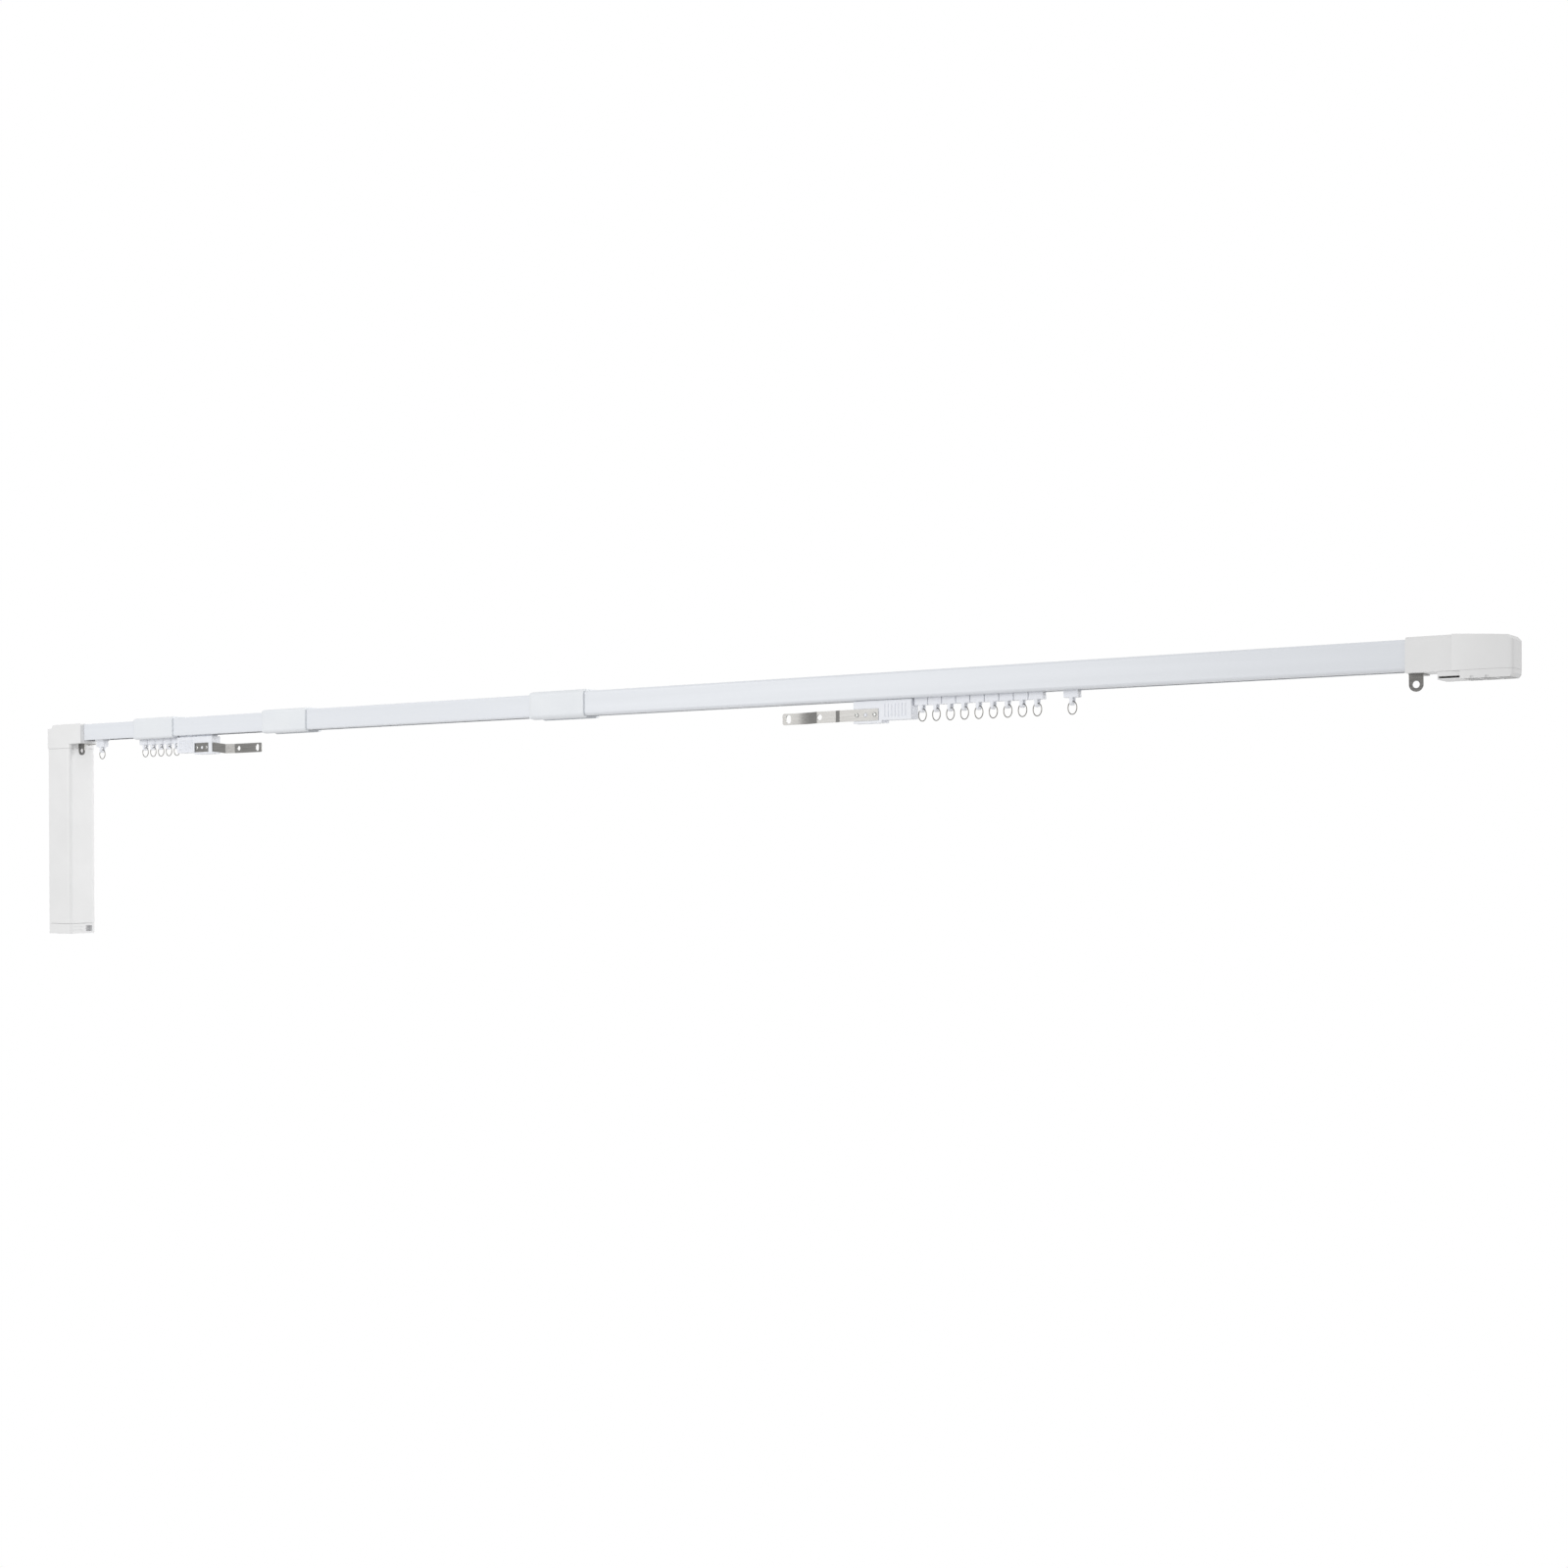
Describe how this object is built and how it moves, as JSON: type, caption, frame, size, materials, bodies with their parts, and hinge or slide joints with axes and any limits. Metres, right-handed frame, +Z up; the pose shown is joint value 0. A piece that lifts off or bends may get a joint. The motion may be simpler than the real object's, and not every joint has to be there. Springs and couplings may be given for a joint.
{
  "type": "electric curtain track",
  "caption": "Telescopic electric curtain track: nested white rails with collars, hanging belt-drive motor, idler end, carriers with hook arms, gliders with rings.",
  "frame": {"origin": "middle of the outer rail's flat top face, where a ceiling clip bears", "axes": "+X along the track from the motor to the idler end, -Y towards the room, +Z up"},
  "size_m": [1.9563, 0.0432, 0.2887],
  "materials": {
    "rail_enamel": "satin white powder coat",
    "collar_abs": "cool white moulded",
    "white_abs": "smooth moulded, slight sheen",
    "white_nylon": "milky, satin",
    "plated_steel": "zinc plated",
    "ring_wire": "bright drawn wire",
    "belt_rubber": "matt",
    "socket_plastic": "grey moulded"
  },
  "bodies": {
    "outer_rail": {"outer_rail": "rail_enamel", "outer_collar": "collar_abs", "idler_housing": "white_abs", "idler_base": "white_abs", "idler_axle": "plated_steel", "right_end_bracket": "plated_steel", "drive_belt": "belt_rubber"},
    "second_rail": {"second_rail": "rail_enamel", "second_collar": "collar_abs"},
    "third_rail": {"third_rail": "rail_enamel", "third_collar": "collar_abs"},
    "inner_rail": {"inner_rail": "rail_enamel", "drive_head_housing": "white_abs", "gear_motor": "plated_steel", "motor_casing": "white_abs", "motor_bottom_cap": "white_abs", "power_inlet": "socket_plastic", "left_end_bracket": "plated_steel"},
    "drive_pulley": {"drive_pulley": "plated_steel"},
    "idler_pulley": {"idler_pulley": "white_nylon"},
    "right_carrier": {"right_carrier": "white_nylon", "right_belt_clamp": "white_nylon", "right_arm": "plated_steel", "right_arm_screws": "plated_steel"},
    "left_carrier": {"left_carrier": "white_nylon", "left_belt_clamp": "white_nylon", "left_arm": "plated_steel", "left_arm_screws": "plated_steel"},
    "right_glider_1": {"right_glider_1": "white_nylon"},
    "right_ring_1": {"right_ring_1": "ring_wire"},
    "right_glider_2": {"right_glider_2": "white_nylon"},
    "right_ring_2": {"right_ring_2": "ring_wire"},
    "right_glider_3": {"right_glider_3": "white_nylon"},
    "right_ring_3": {"right_ring_3": "ring_wire"},
    "right_glider_4": {"right_glider_4": "white_nylon"},
    "right_ring_4": {"right_ring_4": "ring_wire"},
    "right_glider_5": {"right_glider_5": "white_nylon"},
    "right_ring_5": {"right_ring_5": "ring_wire"},
    "right_glider_6": {"right_glider_6": "white_nylon"},
    "right_ring_6": {"right_ring_6": "ring_wire"},
    "right_glider_7": {"right_glider_7": "white_nylon"},
    "right_ring_7": {"right_ring_7": "ring_wire"},
    "right_glider_8": {"right_glider_8": "white_nylon"},
    "right_ring_8": {"right_ring_8": "ring_wire"},
    "right_glider_9": {"right_glider_9": "white_nylon"},
    "right_ring_9": {"right_ring_9": "ring_wire"},
    "right_glider_10": {"right_glider_10": "white_nylon"},
    "right_ring_10": {"right_ring_10": "ring_wire"},
    "left_glider_1": {"left_glider_1": "white_nylon"},
    "left_ring_1": {"left_ring_1": "ring_wire"},
    "left_glider_2": {"left_glider_2": "white_nylon"},
    "left_ring_2": {"left_ring_2": "ring_wire"},
    "left_glider_3": {"left_glider_3": "white_nylon"},
    "left_ring_3": {"left_ring_3": "ring_wire"},
    "left_glider_4": {"left_glider_4": "white_nylon"},
    "left_ring_4": {"left_ring_4": "ring_wire"},
    "left_glider_5": {"left_glider_5": "white_nylon"},
    "left_ring_5": {"left_ring_5": "ring_wire"},
    "left_glider_6": {"left_glider_6": "white_nylon"},
    "left_ring_6": {"left_ring_6": "ring_wire"}
  },
  "joints": [
    {"name": "second_rail_slide", "type": "slide", "parent": "outer_rail", "child": "second_rail", "axis": [-1, 0, 0], "range_m": [-0.36, 0.134], "deforming": ["drive_belt"]},
    {"name": "third_rail_slide", "type": "slide", "parent": "second_rail", "child": "third_rail", "axis": [-1, 0, 0], "range_m": [-0.168, 0.328], "deforming": ["drive_belt"]},
    {"name": "inner_rail_slide", "type": "slide", "parent": "third_rail", "child": "inner_rail", "axis": [-1, 0, 0], "range_m": [-0.104, 0.446], "deforming": ["drive_belt"]},
    {"name": "right_carrier_slide", "type": "slide", "parent": "outer_rail", "child": "right_carrier", "axis": [-1, 0, 0], "range_m": [0, 0.4073]},
    {"name": "left_carrier_slide", "type": "slide", "parent": "inner_rail", "child": "left_carrier", "axis": [1, 0, 0], "range_m": [0, 0.4073]},
    {"name": "drive_pulley_spin", "type": "hinge", "parent": "inner_rail", "child": "drive_pulley", "pos_m": [-1.363, 0, -0.0135], "axis": [0, 0, 1], "range_deg": [-3288, 0]},
    {"name": "idler_pulley_spin", "type": "hinge", "parent": "outer_rail", "child": "idler_pulley", "pos_m": [0.5391, 0, -0.0135], "axis": [0, 0, 1], "range_deg": [-3288, 0]},
    {"name": "right_glider_1_slide", "type": "slide", "parent": "outer_rail", "child": "right_glider_1", "axis": [-1, 0, 0], "range_m": [0, 0.3671]},
    {"name": "right_glider_2_slide", "type": "slide", "parent": "outer_rail", "child": "right_glider_2", "axis": [-1, 0, 0], "range_m": [0, 0.3263]},
    {"name": "right_glider_3_slide", "type": "slide", "parent": "outer_rail", "child": "right_glider_3", "axis": [-1, 0, 0], "range_m": [0, 0.2856]},
    {"name": "right_glider_4_slide", "type": "slide", "parent": "outer_rail", "child": "right_glider_4", "axis": [-1, 0, 0], "range_m": [0, 0.2449]},
    {"name": "right_glider_5_slide", "type": "slide", "parent": "outer_rail", "child": "right_glider_5", "axis": [-1, 0, 0], "range_m": [0, 0.2041]},
    {"name": "right_glider_6_slide", "type": "slide", "parent": "outer_rail", "child": "right_glider_6", "axis": [-1, 0, 0], "range_m": [0, 0.1634]},
    {"name": "right_glider_7_slide", "type": "slide", "parent": "outer_rail", "child": "right_glider_7", "axis": [-1, 0, 0], "range_m": [0, 0.1227]},
    {"name": "right_glider_8_slide", "type": "slide", "parent": "outer_rail", "child": "right_glider_8", "axis": [-1, 0, 0], "range_m": [0, 0.082]},
    {"name": "right_glider_9_slide", "type": "slide", "parent": "outer_rail", "child": "right_glider_9", "axis": [-1, 0, 0], "range_m": [0, 0.0412]},
    {"name": "left_glider_1_slide", "type": "slide", "parent": "inner_rail", "child": "left_glider_1", "axis": [1, 0, 0], "range_m": [0, 0.3399]},
    {"name": "left_glider_2_slide", "type": "slide", "parent": "inner_rail", "child": "left_glider_2", "axis": [1, 0, 0], "range_m": [0, 0.272]},
    {"name": "left_glider_3_slide", "type": "slide", "parent": "inner_rail", "child": "left_glider_3", "axis": [1, 0, 0], "range_m": [0, 0.2041]},
    {"name": "left_glider_4_slide", "type": "slide", "parent": "inner_rail", "child": "left_glider_4", "axis": [1, 0, 0], "range_m": [0, 0.1363]},
    {"name": "left_glider_5_slide", "type": "slide", "parent": "inner_rail", "child": "left_glider_5", "axis": [1, 0, 0], "range_m": [0, 0.0684]},
    {"name": "right_glider_10_slide", "type": "slide", "parent": "outer_rail", "child": "right_glider_10", "axis": [1, 0, 0], "range_m": [-0.02, 0.3]},
    {"name": "left_glider_6_slide", "type": "slide", "parent": "inner_rail", "child": "left_glider_6", "axis": [1, 0, 0], "range_m": [-0.018, 0.072]},
    {"name": "right_ring_1_swing", "type": "hinge", "parent": "right_glider_1", "child": "right_ring_1", "pos_m": [-0.00395, 0, -0.0364], "axis": [1, 0, 0], "range_deg": [-60, 60]},
    {"name": "right_ring_2_swing", "type": "hinge", "parent": "right_glider_2", "child": "right_ring_2", "pos_m": [0.01195, 0, -0.0364], "axis": [1, 0, 0], "range_deg": [-60, 60]},
    {"name": "right_ring_3_swing", "type": "hinge", "parent": "right_glider_3", "child": "right_ring_3", "pos_m": [0.02785, 0, -0.0364], "axis": [1, 0, 0], "range_deg": [-60, 60]},
    {"name": "right_ring_4_swing", "type": "hinge", "parent": "right_glider_4", "child": "right_ring_4", "pos_m": [0.04375, 0, -0.0364], "axis": [1, 0, 0], "range_deg": [-60, 60]},
    {"name": "right_ring_5_swing", "type": "hinge", "parent": "right_glider_5", "child": "right_ring_5", "pos_m": [0.05965, 0, -0.0364], "axis": [1, 0, 0], "range_deg": [-60, 60]},
    {"name": "right_ring_6_swing", "type": "hinge", "parent": "right_glider_6", "child": "right_ring_6", "pos_m": [0.07555, 0, -0.0364], "axis": [1, 0, 0], "range_deg": [-60, 60]},
    {"name": "right_ring_7_swing", "type": "hinge", "parent": "right_glider_7", "child": "right_ring_7", "pos_m": [0.09145, 0, -0.0364], "axis": [1, 0, 0], "range_deg": [-60, 60]},
    {"name": "right_ring_8_swing", "type": "hinge", "parent": "right_glider_8", "child": "right_ring_8", "pos_m": [0.10735, 0, -0.0364], "axis": [1, 0, 0], "range_deg": [-60, 60]},
    {"name": "right_ring_9_swing", "type": "hinge", "parent": "right_glider_9", "child": "right_ring_9", "pos_m": [0.12325, 0, -0.0364], "axis": [1, 0, 0], "range_deg": [-60, 60]},
    {"name": "right_ring_10_swing", "type": "hinge", "parent": "right_glider_10", "child": "right_ring_10", "pos_m": [0.16025, 0, -0.0364], "axis": [1, 0, 0], "range_deg": [-60, 60]},
    {"name": "left_ring_1_swing", "type": "hinge", "parent": "left_glider_1", "child": "left_ring_1", "pos_m": [-1.13405, 0, -0.0364], "axis": [1, 0, 0], "range_deg": [-60, 60]},
    {"name": "left_ring_2_swing", "type": "hinge", "parent": "left_glider_2", "child": "left_ring_2", "pos_m": [-1.14995, 0, -0.0364], "axis": [1, 0, 0], "range_deg": [-60, 60]},
    {"name": "left_ring_3_swing", "type": "hinge", "parent": "left_glider_3", "child": "left_ring_3", "pos_m": [-1.16585, 0, -0.0364], "axis": [1, 0, 0], "range_deg": [-60, 60]},
    {"name": "left_ring_4_swing", "type": "hinge", "parent": "left_glider_4", "child": "left_ring_4", "pos_m": [-1.18175, 0, -0.0364], "axis": [1, 0, 0], "range_deg": [-60, 60]},
    {"name": "left_ring_5_swing", "type": "hinge", "parent": "left_glider_5", "child": "left_ring_5", "pos_m": [-1.19765, 0, -0.0364], "axis": [1, 0, 0], "range_deg": [-60, 60]},
    {"name": "left_ring_6_swing", "type": "hinge", "parent": "left_glider_6", "child": "left_ring_6", "pos_m": [-1.288, 0, -0.0364], "axis": [1, 0, 0], "range_deg": [-60, 60]}
  ],
  "couplings": [
    {"joint": "left_carrier_slide", "follows": "right_carrier_slide", "ratio": 1},
    {"joint": "drive_pulley_spin", "follows": "right_carrier_slide", "rad_per_m": -140.85},
    {"joint": "idler_pulley_spin", "follows": "right_carrier_slide", "rad_per_m": -140.85},
    {"joint": "right_glider_1_slide", "follows": "right_carrier_slide", "ratio": 0.9},
    {"joint": "right_glider_2_slide", "follows": "right_carrier_slide", "ratio": 0.8},
    {"joint": "right_glider_3_slide", "follows": "right_carrier_slide", "ratio": 0.7},
    {"joint": "right_glider_4_slide", "follows": "right_carrier_slide", "ratio": 0.6},
    {"joint": "right_glider_5_slide", "follows": "right_carrier_slide", "ratio": 0.5},
    {"joint": "right_glider_6_slide", "follows": "right_carrier_slide", "ratio": 0.4},
    {"joint": "right_glider_7_slide", "follows": "right_carrier_slide", "ratio": 0.3},
    {"joint": "right_glider_8_slide", "follows": "right_carrier_slide", "ratio": 0.2},
    {"joint": "right_glider_9_slide", "follows": "right_carrier_slide", "ratio": 0.1},
    {"joint": "left_glider_1_slide", "follows": "right_carrier_slide", "ratio": 0.83333},
    {"joint": "left_glider_2_slide", "follows": "right_carrier_slide", "ratio": 0.66667},
    {"joint": "left_glider_3_slide", "follows": "right_carrier_slide", "ratio": 0.5},
    {"joint": "left_glider_4_slide", "follows": "right_carrier_slide", "ratio": 0.33333},
    {"joint": "left_glider_5_slide", "follows": "right_carrier_slide", "ratio": 0.16667}
  ]
}
